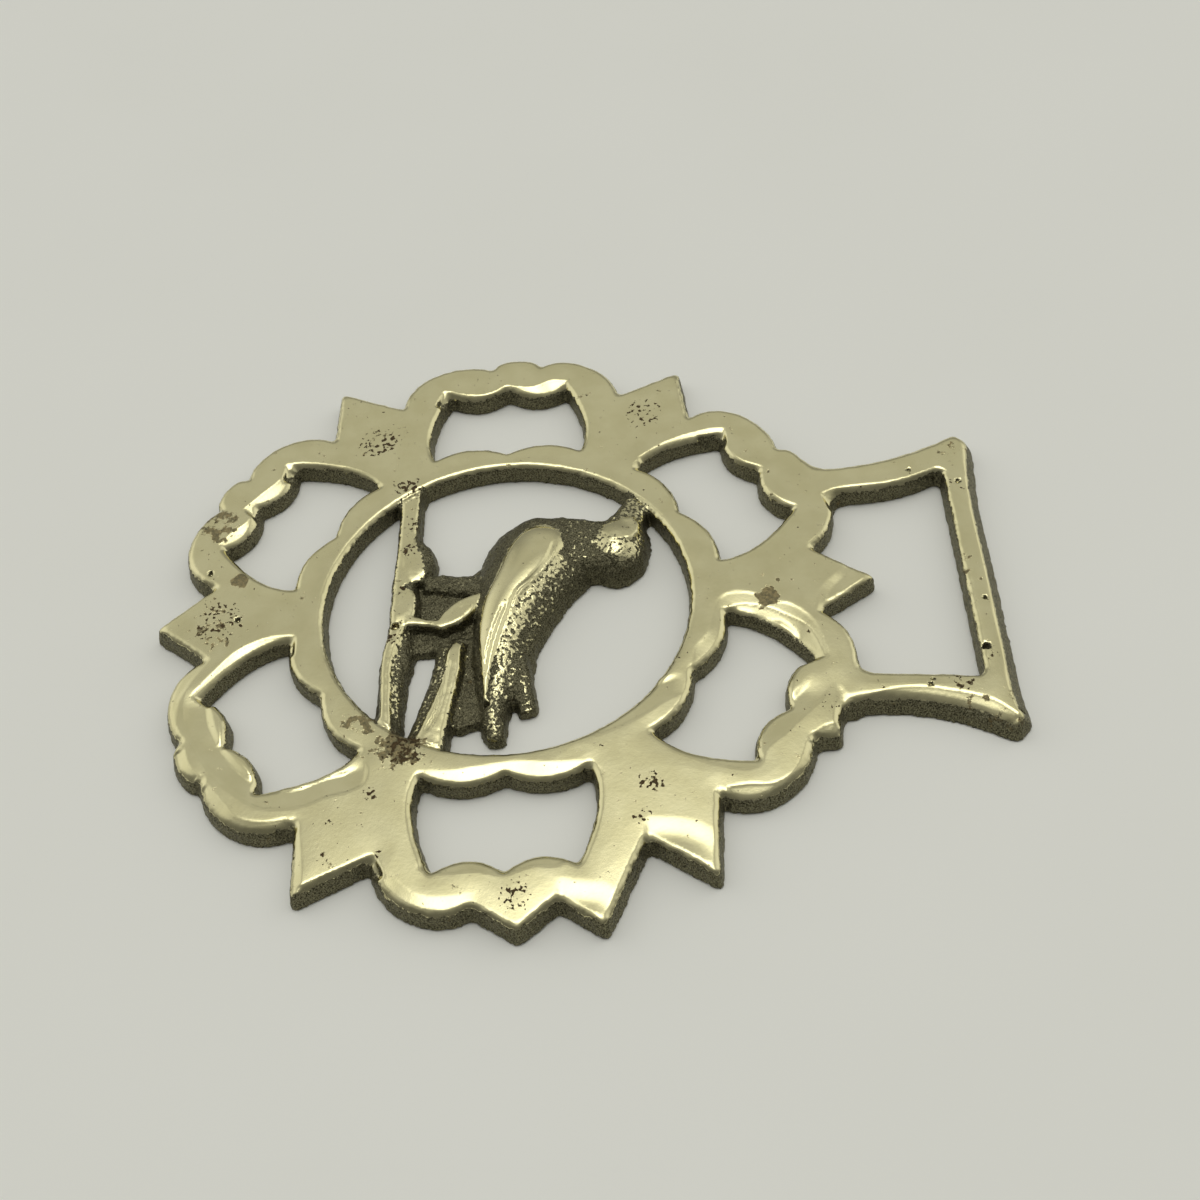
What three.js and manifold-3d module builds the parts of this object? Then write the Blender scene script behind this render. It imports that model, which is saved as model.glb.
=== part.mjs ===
// A cast horse brass: a pierced round plaque of six scalloped petals and six
// points, with a perched bird in the middle and a flared strap loop above it.
// Units are millimetres. +Z comes out of the polished face, +Y runs from the
// middle of the plaque to the strap loop, and the flat back lies on z = 0. Plan
// positions are from the middle of the plaque.

import {
  BoxGeometry, BufferAttribute, BufferGeometry, CatmullRomCurve3, CubicBezierCurve,
  ExtrudeGeometry, Group, Mesh, MeshStandardMaterial, QuadraticBezierCurve, Shape,
  SphereGeometry, Vector2, Vector3,
} from 'three';
import { mergeVertices } from 'three/addons/utils/BufferGeometryUtils.js';
import Module from 'manifold-3d';

// ------------------------------------------------------------ cast plate

const FACE_HEIGHT = 2.2;        // back to polished face
const EDGE_ROUND = 0.3;         // how far the polished face rolls over at its rims
const EDGE_DROP = 0.3;          // and how deep that goes at a pierced edge
const RIM_FLARE = 0.45;         // draft of the outer walls, from rim to foot
const LOOP_FLARE = 0.9;         // the strap loop's outer walls lean out further
const PIERCED_DRAFT = 0.2;      // draft of the pierced walls
const BURIED = 0.6;             // how far solids run below the back before they are trimmed
const TRIM_SIZE = 200;          // block that trims them, larger than the casting

// ---------------------------------------------------------------- plaque
// Radii are from the middle of the plaque. Angles are in degrees, anticlockwise
// from the strap loop; the angles of a petal's own features count from its axis.

const RING_BORE = 17.5;         // round window that holds the bird
const WEB_RADIUS = 28.4;        // plain disc under the petals and points
const VALLEY_RADIUS = 29.45;    // where a point meets the petal beside it
const NOTCH_RADIUS = 32.45;     // dips between the three lobes of a petal
const ROOT_RADIUS = 26.5;       // how deep the lobes' and points' solids reach inwards
const ROOT_SPREAD = 3;          // and how far they run under their neighbours, in degrees
const OUTER_LOBE_PULLS = [[33.8, 19.4], [34.8, 8.9]];   // radius and angle of its two pulls
const MIDDLE_LOBE_PULL = 34.3;  // radius that pulls the middle lobe outwards

// The six petals. `notches` are the dips between the lobes. A lobe that was
// left angular instead of round has its peak as [radius, angle], and
// `firstReach` draws the first lobe in or out.
const PETALS = [
  { axis: 30, notches: [-6.5, 2.2] },
  { axis: 90, notches: [-6.1, 2.7] },
  { axis: 150, notches: [-4.7, 3.2] },
  { axis: 210, notches: [-4.6, 3.8], firstReach: -0.9 },
  { axis: 270, notches: [-5.0, 7.9], middlePeak: [35.0, 1.8], lastPeak: [35.9, 13.3] },
  { axis: 330, notches: [-3.6, 7.0], middlePeak: [34.4, -1.4] },
];

// The six points between the petals: where the tip is, and the valleys beside it.
const POINTS = [
  { radius: 35.0, angle: -0.6, valleys: [-7.6, 7.6] },
  { radius: 35.0, angle: 58.8, valleys: [50.4, 66.6] },
  { radius: 35.4, angle: 120.4, valleys: [111.9, 127.9] },
  { radius: 33.5, angle: 181.0, valleys: [171.6, 189.5], valleyRadius: 28.6 },
  { radius: 35.3, angle: 239.6, valleys: [232.0, 247.6] },
  { radius: 35.7, angle: 299.9, valleys: [294.1, 308.7] },
];

// The opening pierced in each petal, symmetric about the petal's axis. Corners
// and cusps are on its outline; a bow is the point that pulls a side out of straight.
const OPENING = {
  outerCorner: [29.7, 12.1], outerBow: [26.9, 6.3], outerCusp: [29.35, 0],
  innerCorner: [20.8, 21.1], innerBow: [22.1, 10.5], innerCusp: [19.7, 0],
  sideBow: [24.7, 21.6],
};

// ------------------------------------------------------------ strap loop

const LOOP = {
  left: { root: [-14.2, 30.2], waist: [-13.6, 38.0], corner: [-17.5, 45.3], shoulder: [-16.3, 46.3] },
  right: { root: [14.3, 30.2], waist: [13.2, 37.8], corner: [17.9, 44.8], shoulder: [17.0, 45.6] },
  bar: { left: [-9.5, 45.7], right: [9.5, 45.4] },
};
// The slot's bar side is one flat wall from `seat` to `seat`, where the strap bears.
const SLOT = {
  left: { foot: [-11.7, 28.0], waist: [-9.6, 37.0], corner: [-12.8, 42.9], seat: [-12.3, 43.4] },
  right: { foot: [11.0, 28.0], waist: [11.6, 36.8], corner: [12.6, 42.5], seat: [12.1, 43.0] },
};

// ------------------------------------------------------------------ bird
// Cross-sections of the body, from the breast to the end of the tail: belly
// foot, crest and its height, back foot.
const BODY = [
  { belly: [-10.8, 3.4], crest: [-10.7, 4.6, 0.8], back: [-10.6, 5.9] },
  { belly: [-10.2, 1.6], crest: [-9.3, 4.4, 2.7], back: [-9.9, 7.4] },
  { belly: [-8.6, -0.4], crest: [-7.2, 3.9, 3.3], back: [-6.8, 9.0] },
  { belly: [-6.4, -1.8], crest: [-4.6, 3.0, 3.5], back: [-3.0, 8.3] },
  { belly: [-4.4, -2.8], crest: [-2.0, 1.8, 3.5], back: [-0.3, 6.1] },
  { belly: [-1.4, -3.2], crest: [1.0, 0.5, 3.4], back: [2.4, 4.4] },
  { belly: [2.4, -3.2], crest: [4.0, -0.7, 3.2], back: [5.3, 3.0] },
  { belly: [6.5, -3.2], crest: [7.3, -1.2, 2.8], back: [8.0, 2.4] },
  { belly: [9.5, -3.0], crest: [10.0, -1.2, 2.3], back: [10.2, 1.6] },
  { belly: [12.5, -2.6], crest: [12.8, -1.1, 2.0], back: [12.6, 0.2] },
  { belly: [14.8, -2.2], crest: [15.0, -1.0, 1.6], back: [15.0, 0.0] },
  { belly: [15.7, -1.7], crest: [15.8, -1.0, 0.9], back: [15.7, -0.3] },
];

// The folded wing on its flank: lower edge, crest, upper edge, each with its height.
const WING = [
  { belly: [-8.4, 3.3, 2.6], crest: [-8.4, 3.6, 2.9], back: [-8.3, 4.0, 2.6] },
  { belly: [-7.8, 1.9, 2.7], crest: [-7.4, 3.5, 3.5], back: [-7.4, 5.3, 2.8] },
  { belly: [-6.2, 0.6, 2.8], crest: [-5.4, 3.1, 3.8], back: [-5.2, 5.7, 3.0] },
  { belly: [-3.3, -0.5, 2.8], crest: [-2.6, 2.0, 3.9], back: [-2.6, 4.0, 3.3] },
  { belly: [0.7, -2.0, 2.6], crest: [0.9, 0.2, 3.7], back: [0.9, 1.4, 3.4] },
  { belly: [4.7, -2.45, 2.4], crest: [4.8, -1.0, 3.3], back: [4.8, -0.1, 3.1] },
  { belly: [8.4, -2.15, 2.2], crest: [8.4, -1.7, 2.8], back: [8.4, -1.3, 2.7] },
  { belly: [11.4, -1.9, 1.8], crest: [11.4, -1.8, 2.1], back: [11.5, -1.7, 1.9] },
];

const HEAD = { centre: [-6.1, 10.6], radii: [4.1, 3.3, 3.4] };

// Ridges: middle line, half-width at the foot and height, in x, y, w, h.
const NECK = [[-7.0, 5.6, 3.2, 3.0], [-6.2, 8.2, 3.5, 2.9], [-6.0, 10.4, 3.3, 3.0]];
const BEAK = [[-8.6, 11.8, 1.6, 2.6], [-10.4, 12.5, 1.3, 2.2], [-12.8, 13.6, 1.4, 2.0]];
const TAIL_PRONG = [[7.0, 0.9, 1.3, 2.5], [9.4, 1.3, 1.2, 2.1], [11.2, 1.7, 1.05, 1.6], [12.7, 2.0, 0.8, 1.0]];
const FRONT_LEG = [[-2.4, -1.8, 1.5, 2.0], [-2.9, -4.6, 1.3, 1.6], [-3.4, -7.9, 1.2, 1.6]];
const THIGH = [[-1.0, -2.6, 0.5, 2.0], [0.3, -3.8, 1.2, 2.4], [1.6, -5.2, 1.2, 2.4], [2.7, -6.5, 0.5, 2.2]];
const SHANK = [[2.4, -6.0, 0.6, 2.2], [2.0, -7.6, 0.55, 2.1], [1.6, -9.4, 0.8, 2.2]];
const FRONT_TOES = [[-8.4, -9.4, 1.2, 2.0], [-6.8, -8.9, 1.8, 2.3], [-5.0, -8.9, 1.9, 2.3], [-3.3, -9.3, 1.3, 2.0]];
const BACK_TOES = [[-2.5, -10.0, 1.0, 2.0], [-1.2, -9.8, 1.4, 2.3], [0.9, -9.9, 1.4, 2.3], [2.3, -10.2, 1.1, 1.9]];
const BRANCH = [
  [-16.6, -9.3, 1.9, 2.1], [-12.5, -9.7, 1.6, 2.1], [-8.0, -9.9, 1.5, 2.1], [-3.0, -10.1, 1.5, 2.1],
  [1.0, -10.4, 1.4, 2.1], [5.0, -10.7, 1.2, 2.1], [9.0, -11.0, 1.3, 2.1], [12.0, -11.2, 1.5, 2.1],
  [15.8, -11.3, 1.9, 2.1],
];
const TWIG = [
  [4.2, -3.9, 0.7, 1.8], [6.0, -4.5, 1.0, 2.2], [9.0, -5.2, 1.2, 2.2], [12.0, -6.0, 1.25, 2.2],
  [14.6, -6.8, 1.6, 2.2], [17.0, -7.4, 2.0, 2.1],
];
// Thin skins of metal left between the legs and under the tail.
const LEG_WEB = {
  height: 0.9,
  outline: [
    [-6.6, -10.2], [5.0, -10.2], [4.6, -2.6], [-5.6, -2.0], [-4.4, -3.5], [-3.7, -4.8], [-3.7, -6.2],
    [-4.4, -6.9], [-6.6, -7.2],
  ],
};
const TAIL_WEB = { height: 1.1, outline: [[3.6, -5.2], [13.4, -6.2], [13.9, -4.2], [13.2, -2.0], [3.6, -2.0]] };

const CROWN = 0.62;             // below 1, a ridge's flanks are steep and its top is flat
const WEB_FLARE = 0.2;          // draft of the thin webs' edges

// ---------------------------------------------------- facets and finish

const MOUND_SIDE = 4;           // facets from a mound's foot to its crest
const RING_STEPS = 72;          // chords in a full circle of the plaque
const LOBE_STEPS = 8;           // chords along a round lobe or an arm of the strap loop
const BOW_STEPS = 6;            // chords along a bowed side of a window or of the slot
const HEAD_STEPS = [20, 12];    // facets round the head, and from its top to its underside

const BRASS = { color: 0xb8ad78, roughness: 0.32, metalness: 1 };

// -------------------------------------------------------- making solids

const wasm = await Module();
wasm.setup();

const radians = (degrees) => (degrees * Math.PI) / 180;

/** Point of the plaque at a radius and an angle from the strap loop. */
const polar = (radius, degrees) =>
  new Vector2(-radius * Math.sin(radians(degrees)), radius * Math.cos(radians(degrees)));

const planPoint = ([x, y]) => new Vector2(x, y);

function solidOf(geometry) {
  geometry.deleteAttribute('normal');
  geometry.deleteAttribute('uv');
  const merged = mergeVertices(geometry, 1e-5);
  return new wasm.Manifold(new wasm.Mesh({
    numProp: 3,
    vertProperties: new Float32Array(merged.attributes.position.array),
    triVerts: new Uint32Array(merged.index.array),
  }));
}

function geometryOf(solid) {
  const { vertProperties, triVerts } = solid.getMesh();
  const geometry = new BufferGeometry();
  geometry.setAttribute('position', new BufferAttribute(new Float32Array(vertProperties), 3));
  geometry.setIndex(new BufferAttribute(new Uint32Array(triVerts), 1));
  geometry.computeVertexNormals();
  return geometry;
}

const join = (solids) => solids.reduce((whole, solid) => whole.add(solid));
const cut = (solid, cutters) => cutters.reduce((rest, cutter) => rest.subtract(cutter), solid);

/** Pad with a rolled-over rim and a flared foot; its rim follows `outline`. */
function pad(outline, flare = RIM_FLARE, height = FACE_HEIGHT) {
  const geometry = new ExtrudeGeometry(new Shape(outline), {
    depth: BURIED, steps: 1, bevelSegments: 3, bevelThickness: height,
    bevelOffset: -EDGE_ROUND, bevelSize: EDGE_ROUND + flare,
  });
  geometry.translate(0, 0, -BURIED);
  return solidOf(geometry);
}

/** Cutter for a pierced window: drafted walls and a rolled-over upper edge. */
function piercing(outline) {
  const shape = new Shape(outline);
  const walls = new ExtrudeGeometry(shape, {
    depth: 1, steps: 1, bevelSegments: 1, bevelThickness: FACE_HEIGHT + BURIED,
    bevelOffset: -PIERCED_DRAFT, bevelSize: PIERCED_DRAFT,
  });
  const edge = new ExtrudeGeometry(shape, {
    depth: 1, steps: 1, bevelSegments: 1, bevelThickness: EDGE_DROP, bevelSize: EDGE_ROUND,
  });
  const solids = [walls, edge].map((geometry) => solidOf(geometry.translate(0, 0, FACE_HEIGHT)));
  return join(solids);
}

/**
 * Mound lofted along three rails: the foot of one flank, the crest, and the
 * foot of the other flank. Its sides run on below the feet, to be trimmed.
 */
function mound(belly, crest, back, { steps, crown = 1 }) {
  const rails = [belly, crest, back].map(
    (rail) => new CatmullRomCurve3(rail.map(([x, y, z = 0]) => new Vector3(x, y, z)), false, 'centripetal'),
  );
  const ring = [];
  for (let i = 0; i <= 2 * MOUND_SIDE; i++) {
    const turn = (Math.PI / 2) * (i / MOUND_SIDE - 1);
    ring.push({ out: Math.abs(Math.sin(turn)) ** crown, up: Math.cos(turn) ** crown, side: i < MOUND_SIDE ? 0 : 2 });
  }
  const positions = [];
  for (let step = 0; step <= steps; step++) {
    const points = rails.map((rail) => rail.getPoint(step / steps));
    const [left, top, right] = points;
    for (const { out, up, side } of ring) {
      const foot = points[side];
      positions.push(
        top.x + (foot.x - top.x) * out, top.y + (foot.y - top.y) * out, foot.z + (top.z - foot.z) * up,
      );
    }
    positions.push(right.x, right.y, -BURIED, left.x, left.y, -BURIED);
  }
  const size = ring.length + 2;
  const index = [];
  for (let step = 0; step < steps; step++) {
    for (let i = 0; i < size; i++) {
      const a = step * size + i;
      const b = step * size + ((i + 1) % size);
      index.push(a, b + size, b, a, a + size, b + size);
    }
  }
  for (let i = 1; i < size - 1; i++) {
    index.push(0, i, i + 1);
    index.push(steps * size, steps * size + i + 1, steps * size + i);
  }
  const geometry = new BufferGeometry();
  geometry.setAttribute('position', new BufferAttribute(new Float32Array(positions), 3));
  geometry.setIndex(index);
  return solidOf(geometry);
}

/** Flat-topped ridge along a middle line of x, y, half-width and height. */
function ridge(line, steps) {
  const side = (sign) => line.map(([x, y, width], i) => {
    const [ax, ay] = line[Math.max(i - 1, 0)];
    const [bx, by] = line[Math.min(i + 1, line.length - 1)];
    const length = Math.hypot(bx - ax, by - ay);
    return [x + (sign * width * (by - ay)) / length, y - (sign * width * (bx - ax)) / length];
  });
  return mound(side(1), line.map(([x, y, , height]) => [x, y, height]), side(-1), { steps, crown: CROWN });
}

// --------------------------------------------------------- plate shapes

/** One lobe of a petal between two dips, round or with an angular peak. */
function lobe(axis, from, to, pulls, peak) {
  const at = ([radius, angle]) => polar(radius, axis + angle);
  const edge = peak
    ? [at(from), at(peak), at(to)]
    : new CubicBezierCurve(at(from), at(pulls[0]), at(pulls[1]), at(to)).getPoints(LOBE_STEPS);
  return pad([...edge, at([ROOT_RADIUS, to[1] + ROOT_SPREAD]), at([ROOT_RADIUS, from[1] - ROOT_SPREAD])]);
}

function petal({ axis, notches, middlePeak, lastPeak, firstReach = 0 }, before, after) {
  const firstValley = [before.radius, before.angle - axis];
  const lastValley = [after.radius, after.angle - axis];
  const [firstNotch, lastNotch] = notches.map((angle) => [NOTCH_RADIUS, angle]);
  const firstPulls = OUTER_LOBE_PULLS.map(([radius, angle]) => [radius + firstReach, -angle]);
  const middlePulls = notches.map((angle) => [MIDDLE_LOBE_PULL, angle]);
  const lastPulls = OUTER_LOBE_PULLS.toReversed();
  return join([
    lobe(axis, firstValley, firstNotch, firstPulls),
    lobe(axis, firstNotch, lastNotch, middlePulls, middlePeak),
    lobe(axis, lastNotch, lastValley, lastPulls, lastPeak),
  ]);
}

function point({ radius, angle, valleys, valleyRadius = VALLEY_RADIUS }) {
  return pad([
    polar(ROOT_RADIUS, valleys[0] - ROOT_SPREAD), polar(valleyRadius, valleys[0]),
    polar(radius, angle),
    polar(valleyRadius, valleys[1]), polar(ROOT_RADIUS, valleys[1] + ROOT_SPREAD),
  ]);
}

/** Outline of the window in a petal, walked round anticlockwise. */
function openingOutline(axis) {
  const at = ([radius, angle], side) => polar(radius, axis + side * angle);
  const corners = [
    [OPENING.outerCorner, -1], [OPENING.outerCusp, 1], [OPENING.outerCorner, 1],
    [OPENING.innerCorner, 1], [OPENING.innerCusp, 1], [OPENING.innerCorner, -1],
  ];
  const bows = [
    [OPENING.outerBow, -1], [OPENING.outerBow, 1], [OPENING.sideBow, 1],
    [OPENING.innerBow, 1], [OPENING.innerBow, -1], [OPENING.sideBow, -1],
  ];
  return corners.flatMap((corner, i) => {
    const next = corners[(i + 1) % corners.length];
    return new QuadraticBezierCurve(at(...corner), at(...bows[i]), at(...next)).getPoints(BOW_STEPS).slice(0, -1);
  });
}

const circle = (radius) =>
  Array.from({ length: RING_STEPS }, (_, i) => polar(radius, (360 * i) / RING_STEPS));

function plaque() {
  const petals = PETALS.map((spec, i) => {
    const previous = POINTS[i];
    const next = POINTS[(i + 1) % POINTS.length];
    return petal(
      spec,
      { radius: previous.valleyRadius ?? VALLEY_RADIUS, angle: previous.valleys[1] },
      { radius: next.valleyRadius ?? VALLEY_RADIUS, angle: next.valleys[0] + (next === POINTS[0] ? 360 : 0) },
    );
  });
  return join([pad(circle(WEB_RADIUS), 0), ...POINTS.map(point), ...petals]);
}

function strapLoop() {
  const arm = ({ root, waist, corner }) =>
    new QuadraticBezierCurve(planPoint(root), planPoint(waist), planPoint(corner)).getPoints(LOBE_STEPS);
  const side = ({ foot, waist, corner, seat }) => [
    ...new QuadraticBezierCurve(planPoint(foot), planPoint(waist), planPoint(corner)).getPoints(BOW_STEPS),
    planPoint(seat),
  ];
  const outline = [
    ...arm(LOOP.right), planPoint(LOOP.right.shoulder), planPoint(LOOP.bar.right),
    planPoint(LOOP.bar.left), planPoint(LOOP.left.shoulder), ...arm(LOOP.left).reverse(),
  ];
  const slot = [...side(SLOT.right), ...side(SLOT.left).reverse()];
  return pad(outline, LOOP_FLARE).subtract(piercing(slot));
}

// ----------------------------------------------------------- bird shapes

function lofted(sections, steps) {
  const rail = (name) => sections.map((section) => section[name]);
  return mound(rail('belly'), rail('crest'), rail('back'), { steps });
}

function head() {
  const geometry = new SphereGeometry(1, ...HEAD_STEPS);
  geometry.rotateX(Math.PI / 2);
  geometry.scale(...HEAD.radii);
  geometry.translate(...HEAD.centre, 0);
  return solidOf(geometry);
}

function bird() {
  const webs = [LEG_WEB, TAIL_WEB].map(({ outline, height }) => pad(outline.map(planPoint), WEB_FLARE, height));
  return join([
    lofted(BODY, 22), lofted(WING, 14), head(),
    ridge(NECK, 4), ridge(BEAK, 3), ridge(TAIL_PRONG, 5), ridge(FRONT_LEG, 4), ridge(THIGH, 5), ridge(SHANK, 3),
    ridge(FRONT_TOES, 5), ridge(BACK_TOES, 5), ridge(BRANCH, 12), ridge(TWIG, 7), ...webs,
  ]);
}

// --------------------------------------------------------------- casting

const windows = [circle(RING_BORE), ...PETALS.map(({ axis }) => openingOutline(axis))];
const belowBack = new BoxGeometry(TRIM_SIZE, TRIM_SIZE, TRIM_SIZE).translate(0, 0, -TRIM_SIZE / 2);
const plate = cut(join([plaque(), strapLoop()]), windows.map(piercing));
const casting = plate.add(bird()).subtract(solidOf(belowBack));

const geometry = geometryOf(casting);
geometry.computeBoundingBox();
const middle = geometry.boundingBox.getCenter(new Vector3());
geometry.translate(-middle.x, -middle.y, 0);    // the origin is under the middle of the casting

const brass = new Mesh(geometry, new MeshStandardMaterial(BRASS));
brass.name = 'horse_brass';

const object = new Group();
object.add(brass);

export default object;
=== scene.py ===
"""A cast horse brass lying on its back on a pale table, in soft studio light.

The whole casting is one surface, found where a height of metal, worked out from
the same outlines and sections as the solid model, passes through zero: flat
polished faces with facets along their edges, rough drafted walls, and the bird
with its branch and twig. Sizes are millimetres from the middle of the plaque,
with +Y towards the strap loop and +Z out of the polished face.
"""
import math

import bpy
import numpy as np
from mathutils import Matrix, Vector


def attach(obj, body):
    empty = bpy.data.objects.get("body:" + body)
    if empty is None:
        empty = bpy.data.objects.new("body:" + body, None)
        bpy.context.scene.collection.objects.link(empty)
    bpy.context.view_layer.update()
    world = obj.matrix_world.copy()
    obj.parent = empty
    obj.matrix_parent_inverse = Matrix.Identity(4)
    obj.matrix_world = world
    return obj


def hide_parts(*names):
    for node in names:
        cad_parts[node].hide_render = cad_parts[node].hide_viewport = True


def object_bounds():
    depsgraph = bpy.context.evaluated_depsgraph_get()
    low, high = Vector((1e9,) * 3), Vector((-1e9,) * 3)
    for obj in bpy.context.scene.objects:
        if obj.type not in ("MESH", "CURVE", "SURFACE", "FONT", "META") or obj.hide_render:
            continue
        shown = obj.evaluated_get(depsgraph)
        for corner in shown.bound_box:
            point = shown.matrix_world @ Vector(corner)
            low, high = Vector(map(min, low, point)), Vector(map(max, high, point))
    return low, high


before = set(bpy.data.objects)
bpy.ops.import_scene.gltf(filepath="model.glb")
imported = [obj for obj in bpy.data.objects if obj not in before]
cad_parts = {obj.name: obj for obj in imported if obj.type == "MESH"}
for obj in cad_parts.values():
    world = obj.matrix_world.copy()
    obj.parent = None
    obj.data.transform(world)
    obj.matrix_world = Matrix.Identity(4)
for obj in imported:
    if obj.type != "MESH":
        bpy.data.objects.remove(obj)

import openvdb
from mathutils import Matrix, Vector

CAD_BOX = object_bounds()
MM = 0.001

# ------------------------------------------------------------ cast plate

FACE_HEIGHT = 2.2          # back to polished face
RIM_FLARE = 0.45           # draft of the plaque's outer walls
LOOP_FLARE = 0.9           # and of the strap loop's
PIERCED_DRAFT = 0.2        # draft of the pierced walls
EDGE_BLEND = 0.5           # how softly the face rolls over into a wall
JOIN_BLEND = 0.6           # fillet where the bird runs into the ring
LOOP_BLEND = 2.0           # and where the strap loop runs into the petals
SLOT_WALL = 2              # walls this near the slot have a pierced wall's draft
LEFT_REACH = 34.175        # from the middle of the plaque to the casting's left limit
LOWER_REACH = 34.131       # and to its lower limit

# ---------------------------------------------------------------- plaque
# Radii, and angles in degrees anticlockwise from the strap loop. The angles of
# a petal's own features count from its axis.

RING_BORE = 17.5
VALLEY_RADIUS = 29.45
NOTCH_RADIUS = 32.45
OUTER_LOBE_PULLS = [(33.8, 19.4), (34.8, 8.9)]
MIDDLE_LOBE_PULL = 34.3

PETALS = [
    dict(axis=30, notches=(-6.5, 2.2)),
    dict(axis=90, notches=(-6.1, 2.7)),
    dict(axis=150, notches=(-4.7, 3.2)),
    dict(axis=210, notches=(-4.6, 3.8), first_reach=-0.9),
    dict(axis=270, notches=(-5.0, 7.9), middle_peak=(35.0, 1.8), last_peak=(35.9, 13.3)),
    dict(axis=330, notches=(-3.6, 7.0), middle_peak=(34.4, -1.4)),
]
POINTS = [
    dict(radius=35.0, angle=-0.6, valleys=(-7.6, 7.6)),
    dict(radius=35.0, angle=58.8, valleys=(50.4, 66.6)),
    dict(radius=35.4, angle=120.4, valleys=(111.9, 127.9)),
    dict(radius=33.5, angle=181.0, valleys=(171.6, 189.5), valley_radius=28.6),
    dict(radius=35.3, angle=239.6, valleys=(232.0, 247.6)),
    dict(radius=35.7, angle=299.9, valleys=(294.1, 308.7)),
]
OPENING = dict(
    outer_corner=(29.7, 12.1), outer_bow=(26.9, 6.3), outer_cusp=(29.35, 0),
    inner_corner=(20.8, 21.1), inner_bow=(22.1, 10.5), inner_cusp=(19.7, 0),
    side_bow=(24.7, 21.6),
)

# ------------------------------------------------------------ strap loop

LOOP = dict(
    left=dict(root=(-14.2, 30.2), waist=(-13.6, 38.0), corner=(-17.5, 45.3), shoulder=(-16.3, 46.3)),
    right=dict(root=(14.3, 30.2), waist=(13.2, 37.8), corner=(17.9, 44.8), shoulder=(17.0, 45.6)),
    bar=((9.5, 45.4), (-9.5, 45.7)),
)
SLOT = dict(
    left=dict(foot=(-11.7, 28.0), waist=(-9.6, 37.0), corner=(-12.8, 42.9), seat=(-12.3, 43.4)),
    right=dict(foot=(11.0, 28.0), waist=(11.6, 36.8), corner=(12.6, 42.5), seat=(12.1, 43.0)),
)

# ------------------------------------------------------------------ bird
# Sections: belly foot, crest and its height, back foot.

BODY = [
    ((-10.9, 3.3), (-10.7, 4.6, 0.8), (-10.6, 5.9)),
    ((-10.4, 1.2), (-9.3, 4.4, 2.7), (-9.9, 7.4)),
    ((-8.9, -0.9), (-7.2, 3.9, 3.3), (-6.8, 9.0)),
    ((-6.7, -2.3), (-4.6, 3.0, 3.5), (-3.0, 8.3)),
    ((-4.4, -2.8), (-2.0, 1.8, 3.5), (-0.3, 6.1)),
    ((-1.4, -3.2), (1.0, 0.5, 3.4), (2.4, 4.4)),
    ((2.4, -3.2), (4.0, -0.7, 3.2), (5.3, 3.0)),
    ((6.5, -3.2), (7.3, -1.2, 2.8), (8.0, 2.4)),
    ((9.5, -3.0), (10.0, -1.2, 2.3), (10.2, 1.6)),
    ((12.5, -2.6), (12.8, -1.1, 2.0), (12.6, 0.2)),
    ((14.8, -2.2), (15.0, -1.0, 1.6), (15.0, 0.0)),
    ((15.7, -1.7), (15.8, -1.0, 0.9), (15.7, -0.3)),
]
WING = [
    ((-8.4, 3.3, 2.6), (-8.4, 3.6, 2.9), (-8.3, 4.0, 2.6)),
    ((-7.8, 1.9, 2.7), (-7.4, 3.5, 3.5), (-7.4, 5.3, 2.8)),
    ((-6.2, 0.6, 2.8), (-5.4, 3.1, 3.8), (-5.2, 5.7, 3.0)),
    ((-3.3, -0.5, 2.8), (-2.6, 2.0, 3.9), (-2.6, 4.0, 3.3)),
    ((0.7, -2.0, 2.6), (0.9, 0.2, 3.7), (0.9, 1.4, 3.4)),
    ((4.7, -2.45, 2.4), (4.8, -1.0, 3.3), (4.8, -0.1, 3.1)),
    ((8.4, -2.15, 2.2), (8.4, -1.7, 2.8), (8.4, -1.3, 2.7)),
    ((11.4, -1.9, 1.8), (11.4, -1.8, 2.1), (11.5, -1.7, 1.9)),
]
HEAD = dict(centre=(-6.1, 10.6), radii=(4.1, 3.3, 3.4))
# The head's facet rises along +X by `tilt` and, from its rim outwards, falls by `fall` per mm.
HEAD_FACE = dict(height=3.2, tilt=0.13, rim=0.2, fall=2.5)

# Ridges, as points of the middle line, half-width at the foot and height.
NECK = [(-7.0, 5.6, 3.2, 3.0), (-6.2, 8.2, 3.5, 2.9), (-6.0, 10.4, 3.3, 3.0)]
BEAK = [(-8.6, 11.6, 2.0, 2.8), (-10.4, 12.4, 1.6, 2.3), (-12.8, 13.6, 1.5, 2.1)]
TAIL_PRONG = [(7.0, 0.9, 1.3, 2.5), (9.4, 1.3, 1.2, 2.1), (11.2, 1.7, 1.05, 1.6), (12.7, 2.0, 0.8, 1.0)]
FRONT_LEG = [(-2.4, -1.8, 1.5, 2.0), (-2.9, -4.6, 1.3, 1.6), (-3.4, -7.9, 1.2, 1.6)]
THIGH = [(-1.0, -2.6, 0.5, 2.0), (0.3, -3.8, 1.2, 2.4), (1.6, -5.2, 1.2, 2.4), (2.7, -6.5, 0.5, 2.2)]
SHANK = [(2.4, -6.0, 0.6, 2.2), (2.0, -7.6, 0.55, 2.1), (1.6, -9.4, 0.8, 2.2)]
FRONT_TOES = [
    (-8.4, -9.4, 1.2, 2.0), (-6.8, -8.9, 1.8, 2.3), (-5.0, -8.9, 1.9, 2.3), (-3.3, -9.3, 1.3, 2.0),
]
BACK_TOES = [(-2.5, -10.0, 1.0, 2.0), (-1.2, -9.8, 1.4, 2.3), (0.9, -9.9, 1.4, 2.3), (2.3, -10.2, 1.1, 1.9)]
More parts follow.
